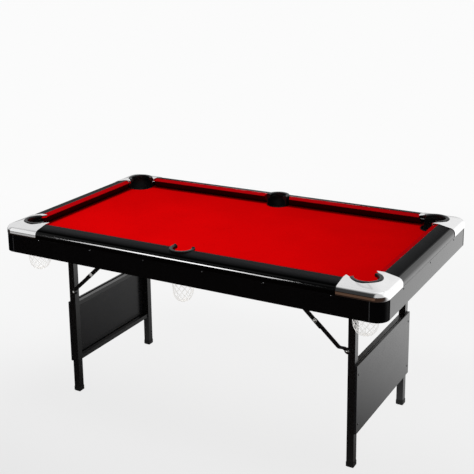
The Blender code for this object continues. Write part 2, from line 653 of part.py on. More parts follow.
def make_leg_mount(side, sx):
    """A pressed plate under the bed with ears for the leg shaft and a pin for each stay."""
    top = BOARD_BOTTOM - FIT_GAP
    base = top - MOUNT_THICKNESS
    x_in, x_out = (sx * end for end in MOUNT_ENDS)
    x = sx * LEG_X
    outer_y = LOWER_LANE + LINK_THICKNESS
    strips = [box((x_in, sy * MOUNT_INNER_Y, base), (x_out, sy * outer_y, top)) for sy in (-1, 1)]
    tie_end = MOUNT_INNER_Y + MOUNT_THICKNESS
    tie = box((x - MOUNT_TIE, -tie_end, base + MOUNT_TIE_INSET),
              (x + MOUNT_TIE, tie_end, top - MOUNT_TIE_INSET))
    mount = part(f"leg_mount_{side}", strips[0], "black_steel")
    join(mount, [strips[1], tie])
    half = LEG_TUBE / 2
    cx, cz = sx * PIVOT_C[0], PIVOT_C[1]
    head = UPPER_LANE + LINK_THICKNESS + FIT_GAP
    for sy in (-1, 1):
        for inner in (LEG_Y - half - EAR_GAP - LINK_THICKNESS, LEG_Y + half + EAR_GAP):
            ear = hanging_tab((x, LEG_PIVOT_Z), EAR_RADIUS, base + TAB_ROOT)
            near, far = inner + EAR_INSET, inner + LINK_THICKNESS - EAR_INSET
            join(mount, [upright_plate(ear, sy * near, sy * far)])
        tab = hanging_tab((cx, cz), TAB_RADIUS, base + TAB_ROOT)
        join(mount, [upright_plate(tab, sy * LOWER_LANE, sy * (outer_y - EAR_INSET)),
                     y_rod(cx, cz, sy * (LOWER_LANE + OVERLAP), sy * (head + OVERLAP), PIN_RADIUS),
                     y_rod(cx, cz, sy * head, sy * (head + PIN_HEAD_HEIGHT), PIN_HEAD_RADIUS)])
    shaft_hole = y_rod(x, LEG_PIVOT_Z, -HALF_Y, HALF_Y, SHAFT_RADIUS + PIN_CLEARANCE, 20)
    boolean(mount, cutter(shaft_hole), "DIFFERENCE")


def make_legs():
    for side, sx in SIDES.items():
        origin = make_leg_frame(side, sx)
        make_leg_panel(side, sx, origin)
        make_leg_mount(side, sx)
        for depth, sy in DEPTHS.items():
            make_foot(side, depth, sx, sy, origin)
            make_lower_link(side, depth, sx, sy)
            make_upper_link(side, depth, sx, sy)


def make_battens():
    top = BOARD_BOTTOM - FIT_GAP
    for depth, sy in DEPTHS.items():
        mesh = box((-BATTEN_HALF_LENGTH, sy * BATTEN_INNER_Y, BATTEN_BOTTOM),
                   (BATTEN_HALF_LENGTH, sy * (BATTEN_INNER_Y + BATTEN_WIDTH), top))
        part(f"bed_batten_{depth}", mesh, "board")


clear_scene()
PARTS = make_collection("pool_table")
CUTTERS = make_collection("cutters")
make_bed()
make_rails()
make_cushions()
make_aprons()
make_pockets()
make_legs()
make_battens()
bpy.context.view_layer.update()
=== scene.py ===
"""Looks of the folding six-pocket pool table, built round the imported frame.

Metres, +Z up, front of the table at -Y. Places and overall sizes come from the frame's nodes. Small details
are worked out from them, or are named design values.
"""
import json
from math import acos, atan2, copysign, cos, pi, radians, sin, sqrt, tan, tau

import bmesh
import bpy
from mathutils import Matrix, Vector, noise

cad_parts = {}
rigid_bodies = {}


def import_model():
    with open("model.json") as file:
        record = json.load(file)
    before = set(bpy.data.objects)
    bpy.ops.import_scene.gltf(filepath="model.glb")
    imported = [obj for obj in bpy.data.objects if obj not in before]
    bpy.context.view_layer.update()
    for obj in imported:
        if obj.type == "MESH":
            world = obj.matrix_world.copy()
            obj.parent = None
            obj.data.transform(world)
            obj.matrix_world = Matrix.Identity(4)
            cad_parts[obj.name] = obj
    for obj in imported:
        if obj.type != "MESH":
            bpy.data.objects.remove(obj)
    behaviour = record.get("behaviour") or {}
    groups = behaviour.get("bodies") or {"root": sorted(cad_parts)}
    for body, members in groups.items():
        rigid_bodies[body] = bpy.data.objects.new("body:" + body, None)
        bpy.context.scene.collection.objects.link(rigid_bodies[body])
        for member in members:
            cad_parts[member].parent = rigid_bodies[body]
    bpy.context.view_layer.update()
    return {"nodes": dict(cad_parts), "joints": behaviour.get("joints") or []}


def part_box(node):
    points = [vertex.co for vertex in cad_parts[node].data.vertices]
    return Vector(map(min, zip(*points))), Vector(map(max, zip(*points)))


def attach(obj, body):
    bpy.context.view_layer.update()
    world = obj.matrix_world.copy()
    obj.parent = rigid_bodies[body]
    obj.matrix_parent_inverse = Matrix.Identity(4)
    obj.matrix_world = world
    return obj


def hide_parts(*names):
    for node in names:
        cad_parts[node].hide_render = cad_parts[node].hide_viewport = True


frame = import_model()

# Without a seed, noise_vector differs from run to run
noise.seed_set(1)

SIDES = {"left": -1, "right": 1}
DEPTHS = {"front": -1, "back": 1}

# Values read from the frame
CAP_LOW, CAP_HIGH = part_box("corner_cap_back_right")
HALF_X, HALF_Y = CAP_HIGH.x, CAP_HIGH.y
CAP_ARM = HALF_X - CAP_LOW.x
CAP_BOTTOM, CAP_TOP = CAP_LOW.z, CAP_HIGH.z
RAIL_LOW, RAIL_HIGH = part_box("rail_back")
RAIL_INNER = HALF_Y - RAIL_LOW.y
CAP_PROUD = HALF_Y - RAIL_HIGH.y
RAIL_BOTTOM, RAIL_TOP = RAIL_LOW.z, RAIL_HIGH.z
CUSHION_LOW, CUSHION_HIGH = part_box("cushion_back_right")
NOSE_OFFSET = HALF_Y - CUSHION_LOW.y
NOSE_LINE = HALF_X - NOSE_OFFSET, HALF_Y - NOSE_OFFSET
BED_LOW, BED_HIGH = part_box("bed_cloth")
BED_TOP = BED_HIGH.z
APRON_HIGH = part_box("apron_front")[1]
APRON_SEAM_X = APRON_HIGH.x
APRON_SCREW_Z = APRON_HIGH.z - 0.006
PIVOTS = {joint["name"]: Vector(joint["pos_m"]) for joint in frame["joints"]}

# Brightness of the backdrop as the camera sees it, and of the fill light
BACKDROP = 0.965
AMBIENT = 0.30

# Shared design values of the tabletop: its gaps and roundings, the slope of the rails, the caps' horns, and
# half the angle of a corner pocket's mouth
LINER_GAP = 0.0003
PLAN_RADIUS = 0.050
NOSING = 0.022
RAIL_SLOPE = radians(12)
HORN_REACH = 0.174
HORN_DEPTH = 0.0945
MOUTH_HALF_ANGLE = radians(70)

# Distances of the apron's screws from the middle, along a long side and along an end
LONG_SCREWS = 0.129, 0.378, 0.634
END_SCREW = 0.294

# Segments of a circle as large as a pocket, and of the rounding of the rails' outer edge
ROUND = 96
NOSING_STEPS = 14


# ---- mesh helpers

def finished(bm, name, smooth_angle=35):
    """Turn the bmesh into a mesh that is smooth-shaded, but sharp where it bends by more than the angle."""
    mesh = bpy.data.meshes.new(name)
    bm.to_mesh(mesh)
    bm.free()
    mesh.shade_smooth()
    mesh.set_sharp_from_angle(angle=radians(smooth_angle))
    return mesh


def solid(bm, name, smooth_angle=35):
    """The same for closed shapes, with their faces turned outwards."""
    bmesh.ops.recalc_face_normals(bm, faces=bm.faces)
    return finished(bm, name, smooth_angle)


def in_scene(name, data):
    """A new object for a mesh, a curve, a light or a camera."""
    obj = bpy.data.objects.new(name, data)
    bpy.context.scene.collection.objects.link(obj)
    return obj


def piece(name, mesh, material, body, replaced=()):
    """Put a finished mesh into the scene as a piece that rides on a body."""
    obj = in_scene(name, mesh)
    mesh.materials.clear()
    mesh.materials.append(material)
    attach(obj, body)
    if replaced:
        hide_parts(*replaced)
    return obj


def bevel(obj, width=0.0006, segments=2, angle=50):
    """Round the edges sharper than the angle."""
    modifier = obj.modifiers.new("edges", "BEVEL")
    modifier.width = width
    modifier.segments = segments
    modifier.limit_method = "ANGLE"
    modifier.angle_limit = radians(angle)
    modifier.harden_normals = True


def thicken(obj, thickness):
    """Give an open sheet a thickness, inwards from its outer surface."""
    shell = obj.modifiers.new("thickness", "SOLIDIFY")
    shell.thickness = thickness
    shell.offset = -1


def evaluated_mesh(obj):
    """A new mesh of the object with its modifiers applied."""
    bpy.context.view_layer.update()
    return bpy.data.meshes.new_from_object(obj.evaluated_get(bpy.context.evaluated_depsgraph_get()))


def subtract(obj, cutter_mesh, smooth_angle=35):
    """Cut a closed shape out of an object, and keep the result as its mesh."""
    tool = in_scene("tool", cutter_mesh)
    cut = obj.modifiers.new("cut", "BOOLEAN")
    cut.operation = "DIFFERENCE"
    cut.object = tool
    mesh = evaluated_mesh(obj)
    obj.modifiers.clear()
    obj.data = mesh
    bpy.data.objects.remove(tool)
    mesh.shade_smooth()
    mesh.set_sharp_from_angle(angle=radians(smooth_angle))


def loft(bm, loops, closed=True, caps=False):
    """Join successive loops of points with quads; optionally fill the two ends."""
    rows = [[bm.verts.new(p) for p in loop] for loop in loops]
    count = len(rows[0])
    for lower, upper in zip(rows, rows[1:]):
        for i in range(count if closed else count - 1):
            j = (i + 1) % count
            bm.faces.new((lower[i], lower[j], upper[j], upper[i]))
    if caps:
        bm.faces.new(rows[0][::-1])
        bm.faces.new(rows[-1])


def prism(bm, outline, start, end, across, up):
    """A closed prism: the outline's (u, v) points laid along `across` and `up`, run from start to end."""
    across, up = Vector(across), Vector(up)
    loft(bm, [[Vector(at) + across * u + up * v for u, v in outline] for at in (start, end)], caps=True)


def arc(centre, radius, start, end, steps):
    """The (x, y) points of an arc, with both its ends."""
    for step in range(steps + 1):
        angle = start + (end - start) * step / steps
        yield centre[0] + radius * cos(angle), centre[1] + radius * sin(angle)


def circle(centre, radius):
    """The (x, y) points of a full circle, without the start again at the end."""
    return list(arc(centre, radius, 0, tau, ROUND))[:-1]


def turned(bm, profile, centre, segments, axis="Z"):
    """Revolve a closed (radius, height) profile round an axis along X, Y or Z."""
    rows = []
    for step in range(segments):
        angle = tau * step / segments
        row = []
        for radius, height in profile:
            x, y, z = radius * cos(angle), radius * sin(angle), height
            if axis == "Y":
                x, y, z = x, z, y
            if axis == "X":
                x, y, z = z, x, y
            row.append(bm.verts.new(Vector(centre) + Vector((x, y, z))))
        rows.append(row)
    for a, b in zip(rows, rows[1:] + rows[:1]):
        for k in range(len(profile)):
            m = (k + 1) % len(profile)
            bm.faces.new((a[k], b[k], b[m], a[m]))


def tube(bm, points, radius, sides=6):
    """A closed tube along a polyline."""
    loops = []
    for index, point in enumerate(points):
        before, after = points[max(index - 1, 0)], points[min(index + 1, len(points) - 1)]
        along = (after - before).normalized()
        side = along.orthogonal() if index == 0 else side - along * side.dot(along)
        side.normalize()
        other = along.cross(side)
        loops.append([point + (side * cos(tau * k / sides) + other * sin(tau * k / sides)) * radius
                      for k in range(sides)])
    loft(bm, loops, caps=True)


# ---- materials

class Nodes:
    """A shader node tree, with short helpers that add to it. Their values are sockets, numbers or colours."""

    def __init__(self, tree):
        self.tree = tree

    def node(self, kind, **settings):
        made = self.tree.nodes.new(kind)
        for key, value in settings.items():
            setattr(made, key, value)
        return made

    def give(self, target, value):
        """Link a socket to an input, or write a number or a colour into it."""
        if isinstance(value, bpy.types.NodeSocket):
            self.tree.links.new(value, target)
        else:
            target.default_value = (*value, 1) if isinstance(value, tuple) else value

    def axes(self, vector):
        """The X, Y and Z sockets of a vector socket."""
        parts = self.node("ShaderNodeSeparateXYZ")
        self.give(parts.inputs["Vector"], vector)
        return parts.outputs["X"], parts.outputs["Y"], parts.outputs["Z"]

    def maths(self, operation, *values):
        made = self.node("ShaderNodeMath", operation=operation)
        for socket, value in zip(made.inputs, values):
            self.give(socket, value)
        return made.outputs["Value"]

    def spread(self, value, low, high, new_low, new_high, curve="LINEAR"):
        """Map a value from one range to another, and hold it at the ends."""
        made = self.node("ShaderNodeMapRange", interpolation_type=curve)
        for key, number in zip(("From Min", "From Max", "To Min", "To Max"), (low, high, new_low, new_high)):
            self.give(made.inputs[key], number)
        self.give(made.inputs["Value"], value)
        return made.outputs["Result"]

    def ramp(self, value, low, high, new_low, new_high):
        """The same with a soft start and end."""
        return self.spread(value, low, high, new_low, new_high, "SMOOTHSTEP")

    def blend(self, factor, first, second):
        """Mix two colours."""
        made = self.node("ShaderNodeMix", data_type="RGBA")
        self.give(made.inputs[0], factor)
        colours = [socket for socket in made.inputs if socket.type == "RGBA"]
        for socket, value in zip(colours, (first, second)):
            self.give(socket, value)
        return [socket for socket in made.outputs if socket.type == "RGBA"][0]

    def mixed(self, factor, first, second):
        """Mix two surfaces."""
        made = self.node("ShaderNodeMixShader")
        for socket, value in zip(made.inputs, (factor, first, second)):
            self.give(socket, value)
        return made.outputs[0]

    def ray_only(self, kind, inside, outside):
        """`inside` for rays of one kind and `outside` for all others."""
        hit = self.node("ShaderNodeLightPath").outputs[kind]
        rest = self.maths("MULTIPLY", self.maths("SUBTRACT", 1.0, hit), outside)
        return self.maths("ADD", self.maths("MULTIPLY", hit, inside), rest)


class Shader(Nodes):
    """A material with procedural detail in object coordinates."""

    def __init__(self, name, colour, roughness, metallic=0.0, specular=0.5):
        self.material = bpy.data.materials.new(name)
        self.material.use_nodes = True
        super().__init__(self.material.node_tree)
        self.surface = self.tree.nodes["Principled BSDF"]
        self.colour(colour)
        self.rough(roughness)
        self.put("Metallic", metallic)
        self.put("Specular IOR Level", specular)
        self.place = self.node("ShaderNodeTexCoord").outputs["Object"]
        self.bumped = None

    def put(self, name, value):
        self.give(self.surface.inputs[name], value)

    def colour(self, value):
        self.put("Base Color", value)

    def rough(self, value):
        self.put("Roughness", value)

    def noise(self, scale, detail=3, roughness=0.5, stretch=None):
        made = self.node("ShaderNodeTexNoise")
        for key, number in zip(("Scale", "Detail", "Roughness"), (scale, detail, roughness)):
            self.give(made.inputs[key], number)
        place = self.place
        if stretch:
            mapping = self.node("ShaderNodeMapping")
            mapping.inputs["Scale"].default_value = stretch
            self.give(mapping.inputs["Vector"], place)
            place = mapping.outputs["Vector"]
        self.give(made.inputs["Vector"], place)
        return made.outputs["Fac"]

    def wave(self, direction, scale, distortion):
        """Fine parallel threads."""
        made = self.node("ShaderNodeTexWave", bands_direction=direction)
        self.give(made.inputs["Scale"], scale)
        self.give(made.inputs["Distortion"], distortion)
        self.give(made.inputs["Vector"], self.place)
        return made.outputs["Fac"]

    def upward(self):
        """The normal's Z: how far the surface faces up."""
        return self.axes(self.node("ShaderNodeNewGeometry").outputs["Normal"])[2]

    def inside(self, *limits):
        """How far a point is inside limits on both sides of the table's middle, the least of X and Y."""
        return self.maths("MINIMUM", *[self.maths("SUBTRACT", limit, self.maths("ABSOLUTE", part))
                                       for part, limit in zip(self.axes(self.place), limits)])

    def bump(self, value, distance, strength=1.0):
        """Add one layer of bump on top of those already there."""
        made = self.node("ShaderNodeBump")
        self.give(made.inputs["Distance"], distance)
        self.give(made.inputs["Strength"], strength)
        self.give(made.inputs["Height"], value)
        if self.bumped is not None:
            self.give(made.inputs["Normal"], self.bumped)
        self.bumped = made.outputs["Normal"]
        self.put("Normal", self.bumped)


def toned(colour, share):
    """A darker or lighter version of a colour."""
    return tuple(min(channel * share, 1) for channel in colour)


def cloth_material(name, colour, sheen, undercut=1.0, border=None):
    """Napped woven cloth: a tight weave under a short fuzzy nap.

    Undercut faces are darkened with painted shade, and a sheet beyond its (x, y) border gets a painted
    shadow.
    """
    shader = Shader(name, colour, 0.95, specular=0.0)
    deep, light = toned(colour, 0.74), toned(colour, 1.16)
    fibres = shader.noise(1400, detail=4, roughness=0.7)
    drift = shader.noise(5, detail=3)
    tone = shader.blend(shader.spread(fibres, 0.3, 0.7, 0, 1), deep, light)
    tone = shader.blend(shader.spread(drift, 0.35, 0.7, 0.0, 0.35), tone, deep)
    if undercut < 1:
        # Painted shade: faces that look down, such as a cushion's undercut, are darkened in the colour.
        painted_undercut_shade = shader.spread(shader.upward(), -0.25, 0.45, 1, 0)
        tone = shader.blend(painted_undercut_shade, tone, toned(colour, undercut))
    if border:
        # Painted shadow: beyond the border, under the cushions' noses, the bed's colour is darkened.
        shade = shader.spread(shader.inside(*border), 0.012, -0.003, 0.0, 0.85)
        tone = shader.blend(shade, tone, toned(colour, 0.08))
    shader.colour(tone)
    for direction in ("X", "Y"):
        shader.bump(shader.wave(direction, 420, 0.6), 0.00006, 0.5)
    shader.bump(fibres, 0.00015, 0.7)
    shader.put("Sheen Weight", sheen)
    shader.put("Sheen Roughness", 0.45)
    shader.put("Sheen Tint", light)
    return shader.material


def laminate_material(name, colour, top_roughness, side_roughness, seam=None, edge_shade=None,
                      mirror=(0.58, 0.84)):
    """Black laminate: satin on faces that look up, polished on the nosing and the sides.

    With a seam, a thin paler line is painted where the sheet ends, that far along X: a painted highlight on
    the seam's edge.
    With the edge shade (near, far, share), the black is darkened with painted shade that close to the table's
    outline.
    The polish fades between the two values of the normal's Z in mirror.
    """
    shade_black, painted_seam_highlight = (0.0003, 0.0003, 0.0003), (0.055, 0.054, 0.056)
    polish, sheen = 0.47, 0.03
    shader = Shader(name, colour, side_roughness)
    up = shader.upward()
    wear = shader.spread(shader.noise(9, detail=5, roughness=0.6), 0.35, 0.75, -0.015, 0.05)
    gloss = shader.spread(up, 0.93, 0.975, side_roughness, top_roughness)
    shader.rough(shader.maths("ADD", gloss, wear))
    if edge_shade:
        # Painted shade: the black is darkened near the table's outer edge, over the rails' rounding.
        share = shader.spread(shader.inside(HALF_X, HALF_Y), *edge_shade, 1)
        shader.colour(shader.blend(share, shade_black, colour))
        sheen = shader.maths("MULTIPLY", share, sheen)
    shader.put("Specular IOR Level", shader.maths("ADD", shader.spread(up, *mirror, polish, 0.0), sheen))
    # Painted highlight: a thin paler line along the apron's seam.
    if seam:
        along = shader.maths("ABSOLUTE", shader.axes(shader.place)[0])
        away = shader.maths("ABSOLUTE", shader.maths("SUBTRACT", along, seam))
        shader.colour(shader.blend(shader.spread(away, 0.0026, 0.0038, 1, 0), colour, painted_seam_highlight))
    shader.bump(shader.noise(260, detail=2), 0.00005, 0.35)
    shader.bump(shader.noise(24, detail=1), 0.0006, 0.03)
    return shader.material


def plated_material(name):
    """Bright plating over moulded plastic, a little cloudy, with fine scuffs."""
    silver = (0.90, 0.90, 0.905)
    shader = Shader(name, silver, 0.10, metallic=1.0)
    cloud = shader.noise(34, detail=4, roughness=0.6)
    scuffs = shader.noise(700, detail=2, stretch=(1, 0.12, 1))
    shader.colour(shader.blend(shader.spread(cloud, 0.35, 0.7, 0, 1), silver, (0.95, 0.95, 0.95)))
    shader.rough(shader.spread(cloud, 0.3, 0.75, 0.07, 0.13))
    shader.bump(shader.noise(40, detail=1), 0.0004, 0.06)
    shader.bump(scuffs, 0.00003, 0.3)
    return shader.material


def plastic_material(name, colour, roughness, specular=0.5, dull_edge=False):
    """Moulded plastic with a fine spark-eroded grain; with a dull edge it doesn't mirror at a flat angle."""
    shader = Shader(name, colour, roughness, specular=specular)
    if dull_edge:
        facing = shader.node("ShaderNodeLayerWeight").outputs["Facing"]
        shader.put("Specular IOR Level", shader.spread(facing, 0.35, 0.6, specular, 0.0))
    shader.bump(shader.noise(900, detail=2), 0.00008, 0.5)
    shader.rough(shader.spread(shader.noise(30), 0.3, 0.7, roughness - 0.05, roughness + 0.08))
    return shader.material


def powder_coat_material(name, colour, roughness, specular=0.5):
    """Smooth black coating: slight orange peel and a few paler rubbed spots."""
    shader = Shader(name, colour, roughness, specular=specular)
    shader.bump(shader.noise(520, detail=2), 0.00012, 0.4)
    rub = shader.noise(14, detail=6, roughness=0.7)
    shader.colour(shader.blend(shader.spread(rub, 0.55, 0.8, 0, 0.5), colour, toned(colour, 1.9)))
    shader.rough(shader.spread(rub, 0.3, 0.8, roughness - 0.01, roughness + 0.06))
    return shader.material


def metal_material(name, colour, roughness):
    """Plated or blackened steel, with duller patches."""
    shader = Shader(name, colour, roughness, metallic=1.0)
    patches = shader.noise(160, detail=4)
    shader.colour(shader.blend(shader.spread(patches, 0.35, 0.7, 0, 1), colour, toned(colour, 0.78)))
    shader.rough(shader.spread(patches, 0.3, 0.8, roughness - 0.06, roughness + 0.12))
    shader.bump(shader.noise(1200), 0.00004, 0.5)
    return shader.material


def board_material(name):
    """Bare fibreboard, with its fine speckle and a faint long grain."""
    shader = Shader(name, (0.40, 0.29, 0.19), 0.85, specular=0.2)
    speckle = shader.noise(650, detail=4, roughness=0.8)
    grain = shader.noise(60, detail=4, stretch=(0.06, 1, 1))
    tone = shader.blend(shader.spread(speckle, 0.3, 0.7, 0, 1), (0.34, 0.24, 0.15), (0.50, 0.38, 0.26))
    shader.colour(shader.blend(shader.spread(grain, 0.4, 0.7, 0, 0.35), tone, (0.29, 0.19, 0.11)))
    shader.bump(speckle, 0.0002, 0.5)
    return shader.material


def cord_material(name):
    """Twisted white cotton cord, with a faint painted glow from its emission."""
    shader = Shader(name, (0.92, 0.91, 0.88), 0.9, specular=0.1)
    # Painted light: the emission makes the cord glow as if lit.
    shader.put("Emission Color", (1.0, 0.99, 0.97))
    shader.put("Emission Strength", 0.38)
    strands = shader.wave("DIAGONAL", 700, 1.5)
    shader.colour(shader.blend(strands, (0.76, 0.74, 0.71), (0.94, 0.93, 0.91)))
    shader.bump(strands, 0.0002, 0.7)
    return shader.material


BED_CLOTH = cloth_material("bed_red_cloth", (0.610, 0.0008, 0.0014), sheen=0.01, border=NOSE_LINE)
CUSHION_CLOTH = cloth_material("cushion_red_cloth", (0.400, 0.0015, 0.0035), sheen=0.02, undercut=0.09)
RAIL_TONE = (0.008, 0.0084, 0.0092)
APRON_TONE = (0.003, 0.003, 0.0033)
# Each rail material paints its own shade into the black near the outer edge; the long rails' shade is deeper.
LONG_RAIL_BLACK = laminate_material("long_rail_black_laminate", RAIL_TONE, 0.48, 0.07,
                                    edge_shade=(0.018, 0.047, 0.05))
END_RAIL_BLACK = laminate_material("end_rail_black_laminate", RAIL_TONE, 0.48, 0.07,
                                   edge_shade=(0.020, 0.085, 0.40), mirror=(0.945, 0.977))
APRON_BLACK = laminate_material("apron_black_laminate", APRON_TONE, 0.30, 0.08, seam=APRON_SEAM_X)
CORNER_BLACK = plastic_material("corner_black_plastic", APRON_TONE, 0.26, specular=0.06, dull_edge=True)
PLATING = plated_material("cap_silver_plating")
LINER_BLACK = plastic_material("liner_black_plastic", (0.004, 0.004, 0.0043), 0.34, specular=0.22)
GLOWING_CORD = cord_material("net_white_cord")
LEG_BLACK = powder_coat_material("leg_black_powder_coat", (0.007, 0.007, 0.0075), 0.26, specular=0.8)
PANEL_BLACK = powder_coat_material("panel_black_laminate", (0.014, 0.014, 0.0155), 0.20)
FOOT_BLACK = plastic_material("foot_black_plastic", (0.010, 0.010, 0.010), 0.55)
ZINC = metal_material("zinc_plated_steel", (0.86, 0.86, 0.84), 0.30)
DARK_SCREW = metal_material("black_oxide_screw", (0.09, 0.09, 0.095), 0.34)
BOARD = board_material("bare_fibreboard")


# ---- section of the tabletop

def section_height(u):
    """Height of the rail top at a distance u in from its outer face."""
    turn = NOSING * (1 - sin(RAIL_SLOPE))
    flat_start = RAIL_INNER - CAP_PROUD
    centre = RAIL_TOP - NOSING * cos(RAIL_SLOPE) - tan(RAIL_SLOPE) * (flat_start - turn)
    if u < turn:
        return centre + sqrt(max(NOSING ** 2 - (NOSING - u) ** 2, 0))
    return min(RAIL_TOP, centre + NOSING * cos(RAIL_SLOPE) + tan(RAIL_SLOPE) * (u - turn))


def nosing_points(steps):
    """(u, z) up the outer face's rounding, evenly in angle."""
    for step in range(steps + 1):
        u = NOSING * (1 - cos((pi / 2 - RAIL_SLOPE) * step / steps))
        yield u, section_height(u)


def rail_outline():
    """(u, z) section of a top rail: rounded outer edge, slope, small inner edge."""
    width = RAIL_INNER - CAP_PROUD
    edge = 0.0016
    points = [(0.0, RAIL_BOTTOM)] + list(nosing_points(NOSING_STEPS))
    points += arc((width - edge, RAIL_TOP - edge), edge, pi / 2, 0, 4)
    points.append((width, RAIL_BOTTOM))
    return points


def make_rail(place, start, end, across, material):
    bm = bmesh.new()
    prism(bm, rail_outline(), start, end, across, (0, 0, 1))
    rail = piece(f"rail_top_{place}", solid(bm, "rail"), material, "tabletop",
                 [f"rail_{place}"])
    if place in DEPTHS:
        centre, radius = pocket_place(f"{place}_middle")
        subtract(rail, cylinder(centre, radius + LINER_GAP, RAIL_BOTTOM - 0.02, RAIL_TOP + 0.02))
    bevel(rail)


def make_rails():
    for depth, sy in DEPTHS.items():
        low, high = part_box(f"rail_{depth}")
        face = sy * (HALF_Y - CAP_PROUD)
        make_rail(depth, (low.x, face, 0), (high.x, face, 0), (0, -sy, 0), LONG_RAIL_BLACK)
    for side, sx in SIDES.items():
        low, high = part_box(f"rail_{side}")
        face = sx * (HALF_X - CAP_PROUD)
        make_rail(side, (face, low.y, 0), (face, high.y, 0), (-sx, 0, 0), END_RAIL_BLACK)


def cylinder(centre, radius, low, high):
    bm = bmesh.new()
    place = Matrix.Translation((centre.x, centre.y, (low + high) / 2))
    bmesh.ops.create_cone(bm, cap_ends=True, segments=ROUND, radius1=radius, radius2=radius,
                          depth=high - low, matrix=place)
    return finished(bm, "cylinder")


def pocket_place(name):
    """A pocket's centre and its liner's outer radius."""
    low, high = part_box(f"pocket_liner_{name}")
    return Vector(((low.x + high.x) / 2, (low.y + high.y) / 2, 0)), (high.x - low.x) / 2


POCKETS = [f"{depth}_{place}" for depth in DEPTHS for place in ("left", "middle", "right")]


# ---- cloth

def flat_sheet(loops):
    """A flat mesh that fills the first loop of (x, y) points and leaves the others open."""
    curve = bpy.data.curves.new("sheet", "CURVE")
    curve.dimensions = "2D"
    curve.fill_mode = "BOTH"
    for loop in loops:
        spline = curve.splines.new("POLY")
        spline.points.add(len(loop) - 1)
        for point, (x, y) in zip(spline.points, loop):
            point.co = (x, y, 0, 1)
        spline.use_cyclic_u = True
    shape = in_scene("sheet", curve)
    mesh = evaluated_mesh(shape)
    bpy.data.objects.remove(shape)
    return mesh


def sheet_outline():
    """The cloth's outline, its four corners cut off."""
    chamfer = 0.03
    low, high = BED_LOW, BED_HIGH
    corners = [(low.x, low.y), (high.x, low.y), (high.x, high.y), (low.x, high.y)]
    points = []
    for index, (x, y) in enumerate(corners):
        pair = [(x - copysign(chamfer, x), y), (x, y - copysign(chamfer, y))]
        points += pair if index % 2 else pair[::-1]
    return points


def make_bed_cloth():
    """The cloth sheet: flat on the board, and rolled over the edge of each pocket hole."""
    roll, roll_steps, tuck = 0.0045, 6, 0.012
    holes = [(centre, radius + LINER_GAP) for centre, radius in map(pocket_place, POCKETS)]
    flat = flat_sheet([sheet_outline()] + [circle(centre, radius + roll) for centre, radius in holes])
    bm = bmesh.new()
    bm.from_mesh(flat)
    bmesh.ops.remove_doubles(bm, verts=bm.verts, dist=1e-6)
    bmesh.ops.translate(bm, vec=(0, 0, BED_TOP), verts=bm.verts)
    for centre, radius in holes:
        loops = []
        for step in range(roll_steps + 1):
            turn = pi / 2 * step / roll_steps
            height = BED_TOP - roll * (1 - cos(turn))
            rim = circle(centre, radius + roll - roll * sin(turn))
            loops.append([Vector((x, y, height)) for x, y in rim])
        loops.append([Vector((p.x, p.y, BED_TOP - roll - tuck)) for p in loops[-1]])
        loft(bm, loops)
    bmesh.ops.remove_doubles(bm, verts=bm.verts, dist=2e-6)
    bmesh.ops.recalc_face_normals(bm, faces=bm.faces)
    if sum(face.normal.z * face.calc_area() for face in bm.faces) < 0:
        bmesh.ops.reverse_faces(bm, faces=bm.faces)
    sheet = piece("playing_cloth", finished(bm, "cloth", 60), BED_CLOTH, "tabletop",
                  ["bed_cloth"])
    thicken(sheet, 0.0012)


def cushion_outline():
    """(u, z) section: rounded back edge tucked to the rail, gentle slope, round nose, undercut face."""
    back = HALF_Y - CUSHION_HIGH.y
    top = CUSHION_HIGH.z
    bottom = CUSHION_LOW.z
    nose_z = bottom + (top - bottom) * 0.77
    r_nose, r_back = 0.0030, 0.0022
    points = [(back, bottom)]
    points += arc((back + r_back, top - r_back), r_back, pi, radians(75), 4)
    points += arc((NOSE_OFFSET - r_nose, nose_z), r_nose, radians(62), radians(-52), 8)
    points += [(NOSE_OFFSET - 0.014, bottom + 0.002), (NOSE_OFFSET - 0.016, bottom)]
    return points


def make_cushion(place, start, end, across, jaw=0.0):
    """A cloth-covered cushion, whose start is cut back at the nose by the jaw."""
    outline = cushion_outline()
    start, end, across = Vector(start), Vector(end), Vector(across)
    along = (end - start).normalized()
    back = outline[0][0]
    steps = 60
    loops = []
    for step in range(steps + 1):
        loop = []
        for u, z in outline:
            share = (u - back) / (NOSE_OFFSET - back)
            point = (start + along * (jaw * share)).lerp(end, step / steps) + across * u + Vector((0, 0, z))
            ripple = noise.noise(point * 14) * 0.00035 * share
            loop.append(point + Vector((0, 0, ripple)))
        loops.append(loop)
    bm = bmesh.new()
    loft(bm, loops, caps=True)
    cushion = piece(f"cushion_cover_{place}", solid(bm, "cushion", 50), CUSHION_CLOTH, "tabletop",
                    [f"cushion_{place}"])
    bevel(cushion, 0.0014, 3, 55)


def make_cushions():
    middle_jaw = 0.009
    for depth, sy in DEPTHS.items():
        for side, sx in SIDES.items():
            low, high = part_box(f"cushion_{depth}_{side}")
            inner, outer = sorted((abs(low.x), abs(high.x)))
            make_cushion(f"{depth}_{side}", (sx * inner, sy * HALF_Y, 0), (sx * outer, sy * HALF_Y, 0),
                         (0, -sy, 0), middle_jaw)
    for side, sx in SIDES.items():
        low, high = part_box(f"cushion_{side}")
        make_cushion(side, (sx * HALF_X, low.y, 0), (sx * HALF_X, high.y, 0), (-sx, 0, 0))


# ---- corner caps

